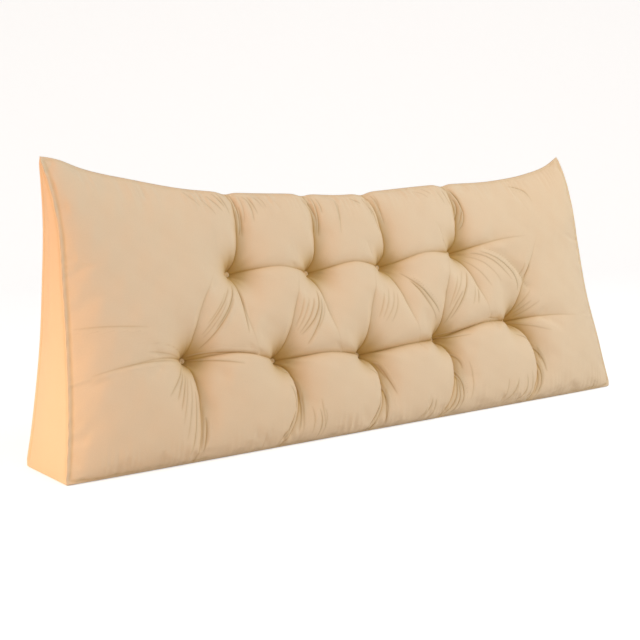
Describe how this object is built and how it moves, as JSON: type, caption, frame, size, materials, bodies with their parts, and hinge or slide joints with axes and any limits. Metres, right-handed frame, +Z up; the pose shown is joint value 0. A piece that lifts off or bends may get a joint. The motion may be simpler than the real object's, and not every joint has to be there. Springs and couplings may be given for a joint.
{
  "type": "wedge backrest pillow, button-tufted",
  "caption": "Long wedge-shaped backrest pillow that stands on its base, with a deep button-tufted face, pointed upper corners and plain triangular ends.",
  "frame": {"origin": "centre of the base of the bounding box, on the surface the pillow stands on", "axes": "+X along the pillow's length, +Y to the plain back (the tufted face looks to -Y), +Z up"},
  "size_m": [1.3528, 0.2029, 0.541],
  "materials": {
    "cloth": "matte brushed weave",
    "button": "matte, cloth-covered"
  },
  "bodies": {
    "root": {"cushion_body": "cloth", "tuft_button_low_1": "button", "tuft_button_low_2": "button", "tuft_button_low_3": "button", "tuft_button_low_4": "button", "tuft_button_low_5": "button", "tuft_button_high_1": "button", "tuft_button_high_2": "button", "tuft_button_high_3": "button", "tuft_button_high_4": "button"}
  },
  "joints": []
}
